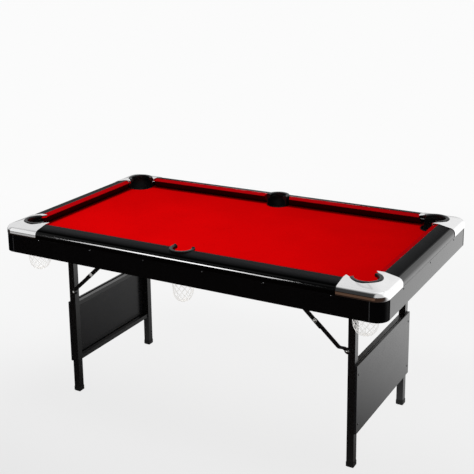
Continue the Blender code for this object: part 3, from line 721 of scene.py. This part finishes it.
def cap_paths(columns):
    """For each column of a cap's surface: the outer point, the inner point and how far the column bends.

    Points are (a, b): distances in from the table's end and from its side. Farther from the corner than
    arm_end, a column leaves its side squarely and bends towards its inner point later.
    """
    centre, radius = pocket_place("back_right")
    pocket = (HALF_X - centre.x, HALF_Y - centre.y)
    radius += LINER_GAP
    first = pi / 4 - MOUTH_HALF_ANGLE
    last = pi / 4 + MOUTH_HALF_ANGLE - tau
    jaws = [(pocket[0] + radius * cos(t), pocket[1] + radius * sin(t)) for t in (first, last)]
    horns = [(HORN_REACH, HORN_DEPTH), (HORN_DEPTH, HORN_REACH)]
    r = PLAN_RADIUS
    arm_end = 0.148

    def outer(s):
        """s from 0 to 4: arm, then corner, then arm."""
        if s <= 1:
            return CAP_ARM + (arm_end - CAP_ARM) * s, 0.0
        if s >= 3:
            return 0.0, arm_end + (CAP_ARM - arm_end) * (s - 3)
        run = arm_end - r
        total = 2 * run + r * pi / 2
        length = (s - 1) / 2 * total
        if length < run:
            return arm_end - length, 0.0
        if length > total - run:
            return 0.0, r + length - (total - run)
        angle = -pi / 2 - (length - run) / r
        return r + r * cos(angle), r + r * sin(angle)

    def inner(s):
        if s <= 1:
            return tuple(h + (j - h) * s for h, j in zip(horns[0], jaws[0]))
        if s >= 3:
            return tuple(j + (h - j) * (s - 3) for j, h in zip(jaws[1], horns[1]))
        angle = first + (last - first) * (s - 1) / 2
        return pocket[0] + radius * cos(angle), pocket[1] + radius * sin(angle)

    for index in range(columns + 1):
        s = 4 * index / columns
        arm = max(1 - s, s - 3, 0.0)
        yield outer(s), inner(s), 1 + 9 * arm


def cap_surface(bm, place):
    """The cap's open outer surface: skirt, nosing, crowned top and the edge rolled into the pocket."""
    roll = 0.0022
    rows_top = 12
    loops = []
    for outside, inside, bend in cap_paths(120):
        ox, oy = outside
        inward = Vector((0, 1)) if oy == 0 else Vector((1, 0))
        if ox < PLAN_RADIUS and oy < PLAN_RADIUS:
            inward = (Vector((PLAN_RADIUS, PLAN_RADIUS)) - Vector(outside)).normalized()
        start = Vector(outside)
        column = [(start + inward * 0.0008, CAP_BOTTOM), (start, CAP_BOTTOM + 0.0008),
                  (start, CAP_BOTTOM + 0.006)]
        column += [(start + inward * u, z + CAP_PROUD) for u, z in nosing_points(NOSING_STEPS)]
        edge = column[-1][0]
        finish = Vector(inside)
        reach = (finish - edge).length
        short = 1 - roll / reach
        for row in range(1, rows_top + 1):
            f = short * row / rows_top
            flat = edge.lerp(finish, f)
            straight = edge + inward * ((finish - edge).dot(inward) * f)
            spot = straight.lerp(flat, f ** bend) if bend > 1 else flat
            u = (spot - start).dot(inward) if bend > 1 else (spot - start).length
            column.append((spot, section_height(max(u, 0)) + CAP_PROUD))
        last, top = column[-1]
        direction = (finish - last).normalized()
        for step in range(1, 5):
            turn = pi / 2 * step / 4
            column.append((last + direction * (roll * sin(turn)), top - roll * (1 - cos(turn))))
        column.append((column[-1][0], top - roll - 0.010))
        loops.append([place(spot, z) for spot, z in column])
    loft(bm, loops, closed=False)


def make_cap(place, sx, sy):
    bm = bmesh.new()
    cap_surface(bm, lambda spot, z: Vector((sx * (HALF_X - spot.x), sy * (HALF_Y - spot.y), z)))
    bmesh.ops.recalc_face_normals(bm, faces=bm.faces)
    if sum(face.normal.z for face in bm.faces) < 0:
        bmesh.ops.reverse_faces(bm, faces=bm.faces)
    cap = piece(f"cap_shell_{place}", finished(bm, "cap", 50), PLATING, "tabletop",
                [f"corner_cap_{place}"])
    thicken(cap, 0.0020)
    bevel(cap, 0.0007, 3, 60)


# ---- pocket liners and nets

def liner_profile(radius, top, bottom):
    """(radius, height) of a liner: broad rounded lip, thin wall, and a foot bead for the net."""
    bore = radius - 0.0140
    wall = radius - 0.003
    points = [(radius, bottom), (radius, top - 0.0025)]
    points += arc((radius - 0.0025, top - 0.0025), 0.0025, 0, pi / 2, 4)
    points += arc((bore + 0.0045, top - 0.0045), 0.0045, pi / 2, pi, 5)
    points += [(bore + 0.0005, top - 0.012), (wall - 0.001, top - 0.020), (wall, bottom + 0.006)]
    points += arc((wall + 0.0002, bottom + 0.0022), 0.0022, radians(120), radians(250), 4)
    return points


def raise_horns(bm, centre, half_mouth, towards, lip):
    """Lift what stands above `lip`, towards the liner's two ends at the mouth."""
    rise, fade = 0.003, 0.20
    mouth = atan2(towards.y, towards.x)
    for vert in bm.verts:
        angle = atan2(vert.co.y - centre.y, vert.co.x - centre.x)
        away = abs((angle - mouth + pi) % tau - pi) - half_mouth
        if vert.co.z > lip and away > -0.05:
            vert.co.z += rise * max(0.0, 1 - away / fade) ** 2


def make_liner(name):
    """A liner, cut open towards the bed above the cloth. Its lip stands a little above the rail."""
    lip_rise = 0.0042
    centre, radius = pocket_place(name)
    low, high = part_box(f"pocket_liner_{name}")
    bm = bmesh.new()
    turned(bm, liner_profile(radius, high.z + lip_rise, low.z), centre, ROUND)
    if "middle" in name:
        towards = Vector((0, -centre.y, 0)).normalized()
        reach = abs(centre.y) - NOSE_LINE[1]
        raise_horns(bm, centre, acos(reach / radius), towards, high.z - 0.005)
    else:
        towards = Vector((-copysign(1, centre.x), -copysign(1, centre.y), 0)).normalized()
        reach = radius * cos(MOUTH_HALF_ANGLE)
    liner = piece(f"pocket_cup_{name}", solid(bm, "liner", 40), LINER_BLACK, "tabletop",
                  [f"pocket_liner_{name}"])
    side = Vector((-towards.y, towards.x, 0))
    past = 0.12
    cut = bmesh.new()
    prism(cut, [(reach, -past), (past, -past), (past, past), (reach, past)],
          (centre.x, centre.y, BED_TOP + 0.0004), (centre.x, centre.y, CAP_TOP + 0.05), towards, side)
    subtract(liner, solid(cut, "mouth"), 40)
    bevel(liner)


def net_radius(share, top_radius):
    """Radius of the net at a share of its depth: it hangs slightly slack and gathers at the bottom."""
    slack = top_radius * (1 - 0.28 * share)
    gather = max(0.0, share - 0.62) / 0.38
    return slack * sqrt(max(1 - gather ** 2.2, 0.0)) + 0.006 * gather


def knot(bm, centre, radius):
    made = bmesh.ops.create_icosphere(bm, subdivisions=1, radius=radius, matrix=Matrix.Translation(centre))
    for vert in made["verts"]:
        offset = vert.co - centre
        vert.co = centre + offset * (1 + 0.25 * noise.noise(vert.co * 900))


def make_net(name):
    """Knotted cords in two opposite spirals, a rim cord, knots at the crossings and a tied-off bottom."""
    low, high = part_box(f"pocket_net_{name}")
    centre = Vector(((low.x + high.x) / 2, (low.y + high.y) / 2, 0))
    top_radius = (high.x - low.x) / 2 - 0.0022
    top, bottom = high.z - 0.0012, low.z + 0.004
    cords, steps, twist = 11, 26, 0.86 * pi
    rim_steps, tails = 40, 5
    bm = bmesh.new()

    def ring(angle, radius, height):
        return centre + Vector((radius * cos(angle), radius * sin(angle), height))

    def spot(angle, share):
        return ring(angle, net_radius(share, top_radius), top - (top - bottom) * share)

    for way in (-1, 1):
        for cord in range(cords):
            base = tau * cord / cords
            tube(bm, [spot(base + way * twist * k / steps, k / steps) for k in range(steps + 1)], 0.00085)
    crossings = int(cords * twist / pi)
    for row in range(1, crossings + 1):
        share = row * pi / cords / twist
        if share > 0.97:
            continue
        for cord in range(cords):
            knot(bm, spot(tau * cord / cords + (pi / cords if row % 2 else 0), share), 0.0019)
    tube(bm, [ring(tau * k / rim_steps, top_radius, top) for k in range(rim_steps + 1)], 0.0011)
    knot(bm, centre + Vector((0, 0, bottom)), 0.0062)
    for k in range(tails):
        angle = tau * k / tails
        tube(bm, [ring(angle, 0.002, bottom), ring(angle, 0.0042, bottom - 0.004)], 0.0009, 5)
    piece(f"cord_net_{name}", solid(bm, "net", 60), GLOWING_CORD, "tabletop", [f"pocket_net_{name}"])


# ---- hard parts refined from the frame

def refined(name, node, material, body, width, segments=3):
    """The node's own shape, with its flat faces made whole again and its edges rounded."""
    bm = bmesh.new()
    bm.from_mesh(frame["nodes"][node].data)
    bmesh.ops.remove_doubles(bm, verts=bm.verts, dist=1e-5)
    bmesh.ops.dissolve_limit(bm, angle_limit=radians(0.5), verts=bm.verts, edges=bm.edges)
    obj = piece(name, finished(bm, name, 30), material, body, [node])
    bevel(obj, width, segments)


def make_aprons():
    for place in ("front", "back", "left", "right"):
        refined(f"apron_panel_{place}", f"apron_{place}", APRON_BLACK, "tabletop",
                0.0005, 2)
    for depth in DEPTHS:
        for side in SIDES:
            name = f"corner_{depth}_{side}"
            refined(f"apron_{name}_panel", f"apron_{name}", CORNER_BLACK, "tabletop",
                    0.0006)


def pan_head_screw(bm, place, outward, radius):
    """A domed screw head, its axis along X or Y."""
    height = radius * 0.42
    profile = [(0.0003, -0.0012), (radius, -0.0012), (radius, height * 0.25)]
    profile += [(radius * cos(t), height * (0.25 + 0.75 * sin(t))) for t in map(radians, (25, 50, 72))]
    profile += [(0.0003, height)]
    axis = "X" if abs(outward.x) > 0.5 else "Y"
    sign = outward.x + outward.y
    turned(bm, [(r, sign * h) for r, h in profile], place, 20, axis)


def make_apron_screws():
    radius = 0.0034
    long_face, end_face = -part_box("apron_front")[0].y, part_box("apron_right")[1].x
    bm = bmesh.new()
    for sy in DEPTHS.values():
        for x in LONG_SCREWS:
            for sx in SIDES.values():
                pan_head_screw(bm, (sx * x, sy * long_face, APRON_SCREW_Z), Vector((0, sy, 0)), radius)
    for sx in SIDES.values():
        for y in (-END_SCREW, 0, END_SCREW):
            pan_head_screw(bm, (sx * end_face, y, APRON_SCREW_Z - 0.003), Vector((sx, 0, 0)), radius)
    piece("apron_screws", solid(bm, "screws", 40), DARK_SCREW, "tabletop")


def make_underside():
    refined("playing_board", "bed_board", BOARD, "tabletop", 0.0008, 2)
    for depth in DEPTHS:
        refined(f"batten_{depth}", f"bed_batten_{depth}", BOARD, "tabletop", 0.0012, 2)
    for side in SIDES:
        refined(f"mount_plate_{side}", f"leg_mount_{side}", LEG_BLACK, "tabletop", 0.0004, 2)


def stay(bm, start, end, lanes, width, thickness, past_end=0.0):
    """A flat bar with round ends between two pivots, stepped sideways from one lane to the other."""
    step_start, step_end = 0.012, 0.034
    side_steps = 40
    span = end - start
    along = span.normalized()
    across = Vector((-along.z, 0, along.x))
    half, length = width / 2, span.length + past_end
    loops = []
    stops = [(-half * cos(t), half * sin(t)) for t in map(radians, range(6, 90, 12))]
    stops += [(length * k / side_steps, half) for k in range(side_steps + 1)]
    stops += [(length + half * cos(t), half * sin(t)) for t in map(radians, range(78, 0, -12))]
    for at, reach in stops:
        share = min(max((at - step_start) / (step_end - step_start), 0), 1)
        lane = lanes[0] + (lanes[1] - lanes[0]) * share * share * (3 - 2 * share)
        near, far = lane - thickness / 2, lane + thickness / 2
        spot = start + along * at
        loops.append([spot + across * v + Vector((0, y, 0)) for v, y in
                      ((-reach, near), (-reach, far), (reach, far), (reach, near))])
    loft(bm, loops, caps=True)


def dome(bm, centre, outward, radius, height, washer=0.0, sides=24):
    """A rivet or bolt head along Y: an optional washer, a skirt, and a low dome."""
    profile = [(0.0002, -0.001)]
    if washer:
        profile += [(washer, -0.001), (washer, 0.0007), (radius, 0.0008)]
    else:
        profile += [(radius, -0.001)]
    profile += [(radius, height * 0.45)]
    profile += [(radius * cos(t), height * (0.45 + 0.55 * sin(t))) for t in map(radians, (20, 40, 60, 78))]
    profile += [(0.0002, height)]
    turned(bm, [(r, outward * h) for r, h in profile], centre, sides, "Y")


def hexagon(bm, centre, outward, radius, height):
    """A hexagon head along Y with its top corners chamfered."""
    loops = []
    for reach, rise in ((radius, 0.0), (radius, height * 0.72), (radius * 0.84, height)):
        loops.append([centre + Vector((reach * cos(t), outward * rise, reach * sin(t)))
                      for t in (tau * (k + 0.5) / 6 for k in range(6))])
    loft(bm, loops, caps=True)


def make_bar(name, bm, body, node):
    bevel(piece(name, solid(bm, "stay"), LEG_BLACK, body, [node]))


def make_stays(side):
    """Each stay's two bars, the bolt at its knee, and the rivet at its lower end."""
    leg_pivot, bed_pivot = PIVOTS[f"brace_lower_turn_{side}"], PIVOTS[f"brace_upper_turn_{side}"]
    thickness, width = 0.003, 0.016
    for depth, sy in DEPTHS.items():
        place = f"{side}_{depth}"
        bolt_low, bolt_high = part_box(f"brace_bolt_{place}")
        knee = Vector(((bolt_low.x + bolt_high.x) / 2, 0, (bolt_low.z + bolt_high.z) / 2))
        low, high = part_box(f"brace_lower_{place}")
        inner, outer = sorted((abs(low.y), abs(high.y)))
        lanes = [sy * (inner + thickness / 2), sy * (outer - thickness / 2)]
        bm = bmesh.new()
        stay(bm, leg_pivot, knee, lanes, width, thickness)
        make_bar(f"stay_lower_{place}", bm, f"brace_lower_{side}", f"brace_lower_{place}")
        low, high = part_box(f"brace_upper_{place}")
        lane = (low.y + high.y) / 2
        bm = bmesh.new()
        stay(bm, bed_pivot, knee, (lane, lane), width + 0.001, thickness, past_end=0.028)
        make_bar(f"stay_upper_{place}", bm, f"brace_upper_{side}", f"brace_upper_{place}")
        bm = bmesh.new()
        dome(bm, Vector((knee.x, lane + sy * thickness / 2, knee.z)), sy, 0.0062, 0.0040, washer=0.0078)
        hexagon(bm, Vector((knee.x, lanes[1] - sy * thickness / 2, knee.z)), -sy, 0.0066, 0.0034)
        piece(f"knee_bolt_{place}", solid(bm, "bolt"), ZINC, f"brace_upper_{side}",
              [f"brace_bolt_{place}"])
        bm = bmesh.new()
        rivet_y = lanes[0] + sy * (thickness / 2 + 0.0006)
        dome(bm, Vector((leg_pivot.x, rivet_y, leg_pivot.z)), sy, 0.0072, 0.0046)
        piece(f"leg_rivet_{place}", solid(bm, "rivet"), ZINC, f"leg_set_{side}")


def make_leg_details(side, sx):
    """Weld beads where the cross bars meet the tubes, and the screws that hold the panel."""
    tube_half, bar_half = 0.014, 0.009
    body = f"leg_set_{side}"
    panel_low, panel_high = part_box(f"leg_panel_{side}")
    foot_low, foot_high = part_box(f"foot_{side}_back")
    leg_x, leg_y = (foot_low.x + foot_high.x) / 2, (foot_low.y + foot_high.y) / 2
    corners = [(-1, -1), (-1, 1), (1, 1), (1, -1)]
    bm = bmesh.new()
    for height in (panel_low.z + 0.010, panel_high.z - 0.010):
        for sy in DEPTHS.values():
            y = sy * (leg_y - tube_half)
            bends = [Vector((leg_x + bar_half * a, y, height + bar_half * b)) for a, b in corners]
            path = [start.lerp(end, k / 8) for start, end in zip(bends, bends[1:]) for k in range(8)]
            path.append(bends[-1])
            tube(bm, [p + noise.noise_vector(p * 300) * 0.0004 for p in path], 0.0017)
    piece(f"weld_beads_{side}", solid(bm, "beads", 60), LEG_BLACK, body)
    bm = bmesh.new()
    face = panel_high.x if sx > 0 else panel_low.x
    for y in (-leg_y, leg_y):
        for z in (panel_low.z + 0.036, panel_high.z - 0.038):
            pan_head_screw(bm, (face, y, z), Vector((sx, 0, 0)), 0.0042)
    piece(f"panel_screws_{side}", solid(bm, "screws", 40), DARK_SCREW, body)


def make_legs():
    for side, sx in SIDES.items():
        body = f"leg_set_{side}"
        refined(f"leg_tubes_{side}", f"leg_frame_{side}", LEG_BLACK, body, 0.0016)
        refined(f"leg_board_{side}", f"leg_panel_{side}", PANEL_BLACK, body, 0.0015)
        make_leg_details(side, sx)
        make_stays(side)
        for depth in DEPTHS:
            place = f"{side}_{depth}"
            refined(f"foot_cap_{place}", f"foot_{place}", FOOT_BLACK, body, 0.0024, 4)


# ---- stage

def make_floor():
    """A pale sweep that takes a faint shadow, and whose glow is painted darker towards the front as painted
    shade.

    What mirrors it sees it bright behind the table, with painted shade below it, and dark and warm in front.
    From below it isn't there, so that the underside can be looked at.
    """
    bm = bmesh.new()
    bmesh.ops.create_grid(bm, x_segments=1, y_segments=1, size=80)
    mesh = finished(bm, "floor")
    floor = in_scene("studio_floor", mesh)
    material = bpy.data.materials.new("pale_floor")
    material.use_nodes = True
    nodes = Nodes(material.node_tree)
    nodes.tree.nodes.remove(nodes.tree.nodes["Principled BSDF"])
    surface = nodes.node("ShaderNodeNewGeometry").outputs
    x, y, _ = nodes.axes(surface["Position"])
    distance = nodes.node("ShaderNodeVectorMath", operation="LENGTH")
    nodes.give(distance.inputs[0], surface["Position"])
    # Painted shade: what mirrors the floor sees it darker under the table.
    to_right = nodes.ramp(x, 0.1, 0.78, 0.36, 1.0)
    mirrored = nodes.maths("MULTIPLY", nodes.ramp(y, -0.6, 1.3, 0.035, 1.30), to_right)
    glow = nodes.node("ShaderNodeEmission")
    # Painted shade: the glow the camera sees is darker towards the front.
    strength = nodes.ray_only("Is Glossy Ray", mirrored, nodes.ramp(y, -1.4, 0.4, 0.79, BACKDROP))
    nodes.give(glow.inputs["Strength"], strength)
    white = nodes.ray_only("Is Glossy Ray", nodes.ramp(y, -1.2, 0.1, 0.0, 1.0), 1.0)
    nodes.give(glow.inputs["Color"], nodes.blend(white, (1.0, 0.55, 0.38), (1.0, 1.0, 1.0)))
    matt = nodes.node("ShaderNodeBsdfDiffuse")
    nodes.give(matt.inputs["Color"], (0.86, 0.86, 0.88))
    seen = nodes.ray_only("Is Camera Ray", nodes.ramp(distance.outputs["Value"], 0.8, 3.6, 0.88, 1.0), 0.0)
    glossy = nodes.node("ShaderNodeLightPath").outputs["Is Glossy Ray"]
    shade = nodes.mixed(nodes.maths("MAXIMUM", glossy, seen), matt.outputs[0], glow.outputs[0])
    nothing = nodes.node("ShaderNodeBsdfTransparent").outputs[0]
    one_sided = nodes.mixed(surface["Backfacing"], shade, nothing)
    nodes.give(nodes.tree.nodes["Material Output"].inputs["Surface"], one_sided)
    mesh.materials.append(material)
    floor.location.z = -0.0005


def mirrored_sky(nodes, direction):
    """Brightness of the mirrored studio: white behind, dark straight in front, grey at the sides."""
    x, y, z = nodes.axes(direction)
    left, right = nodes.ramp(x, -0.22, -0.10, 0.78, 0.88), nodes.ramp(x, 0.0, 0.25, 0.0, 1.08)
    across = nodes.maths("MAXIMUM", left, right)
    wall = nodes.maths("MULTIPLY", nodes.ramp(y, -0.62, 0.05, 0.045, 1.0), across)
    low, high = nodes.ramp(z, 0.76, 0.78, 1.0, 0.75), nodes.ramp(z, 0.795, 0.82, 0.75, 1.0)
    gap = nodes.maths("MAXIMUM", low, high)
    far_left, far_right = nodes.ramp(x, -0.45, -0.75, 0.0, 0.42), nodes.ramp(x, -0.05, 0.25, 0.0, 0.60)
    sides = nodes.maths("MAXIMUM", far_left, far_right)
    return nodes.maths("MAXIMUM", nodes.maths("MULTIPLY", wall, gap), sides)


def make_world():
    """White for the camera, the studio for what mirrors it, and an even fill light for the rest."""
    world = bpy.data.worlds.new("studio")
    bpy.context.scene.world = world
    world.use_nodes = True
    nodes = Nodes(world.node_tree)
    background = nodes.tree.nodes["Background"]
    nodes.give(background.inputs["Color"], (1, 1, 1))
    direction = nodes.node("ShaderNodeTexCoord").outputs["Generated"]
    unseen = nodes.ray_only("Is Glossy Ray", mirrored_sky(nodes, direction), AMBIENT)
    nodes.give(background.inputs["Strength"], nodes.ray_only("Is Camera Ray", BACKDROP, unseen))


def area_light(name, place, target, size, power, colour=(1, 1, 1)):
    data = bpy.data.lights.new(name, "AREA")
    data.color = colour
    data.shape = "RECTANGLE"
    data.size, data.size_y = size
    data.energy = power
    light = in_scene(name, data)
    light.location = place
    light.rotation_euler = (Vector(target) - Vector(place)).to_track_quat("-Z", "Y").to_euler()
    light.visible_camera = False
    return light


def card(name, place, target, size, power, words, colour=(1, 1, 1)):
    """A light that is only mirrored, and only by the pieces whose names start with one of the words."""
    light = area_light(name, place, target, size, power, colour)
    light.visible_diffuse = False
    group = bpy.data.collections.new(f"lit_by_{name}")
    for obj in bpy.context.scene.objects:
        if obj.name.startswith(words):
            group.objects.link(obj)
    light.light_linking.receiver_collection = group


def make_lights():
    """A big soft light overhead, two strips at the front left for the nosing's line, and cards.

    Two cards shade the caps' front faces, a warm one is the line along the right cap's lower edge, and one
    is the shine on the stays' bolts and rivets.
    """
    softbox = area_light("overhead_softbox", (-0.35, -0.50, 2.75), (-0.22, -0.32, 0.7), (1.5, 1.0), 42)
    softbox.visible_glossy = False
    for name, width, power, nearer in (("wide_strip", 1.82, 126, 0.0), ("narrow_strip", 0.96, 50, 0.1)):
        place = Vector((-2.29, -4.04, 2.50)) * (1 - nearer / 5)
        card(name, place, (0, -0.48, 0.77), (width, 1.25), power, ("rail_top", "apron_screws"))
    cap = Vector((-0.80, -0.47, 0.78))
    for name, towards, size, power in (("high_card", (-1.935, -2.03, 1.05), (1.6, 3.0), 8.5),
                                       ("low_card", (-1.29, -1.41, -0.588), (1.2, 0.36), 0.55)):
        card(name, cap + Vector(towards), cap, size, power, ("cap_shell",))
    card("warm_card", (0.27, -1.79, 0.25), (0.74, -0.47, 0.77), (1.8, 0.48), 0.22, ("cap_shell",),
         colour=(1.0, 0.56, 0.36))
    card("bolt_card", (-0.6, -1.6, 0.30), (0, -0.42, 0.56), (1.9, 0.5), 4.0, ("knee_bolt", "leg_rivet"))


def make_camera():
    """The photograph's viewing position: from the front right, a little above the table."""
    place = Vector((1.832, -3.303, 1.970))
    yaw, pitch, roll = radians(-30.71), radians(13.26), radians(-1.12)
    forward = Vector((sin(yaw) * cos(pitch), cos(yaw) * cos(pitch), -sin(pitch)))
    right = Vector((cos(yaw), -sin(yaw), 0))
    up = right.cross(forward)
    right, up = right * cos(roll) + up * sin(roll), up * cos(roll) - right * sin(roll)
    data = bpy.data.cameras.new("camera")
    data.lens, data.sensor_width = 73.14, 36
    data.shift_x, data.shift_y = 0.066, -0.180
    camera = in_scene("camera", data)
    turn = Matrix((right, up, -forward)).transposed().to_4x4()
    camera.matrix_world = Matrix.Translation(place) @ turn
    bpy.context.scene.camera = camera
    bpy.context.scene.view_settings.view_transform = "Standard"


make_bed_cloth()
make_rails()
make_cushions()
for depth_name, depth_sign in DEPTHS.items():
    for side_name, side_sign in SIDES.items():
        make_cap(f"{depth_name}_{side_name}", side_sign, depth_sign)
for pocket in POCKETS:
    make_liner(pocket)
    make_net(pocket)
make_aprons()
make_apron_screws()
make_underside()
make_legs()
make_floor()
make_world()
make_lights()
make_camera()
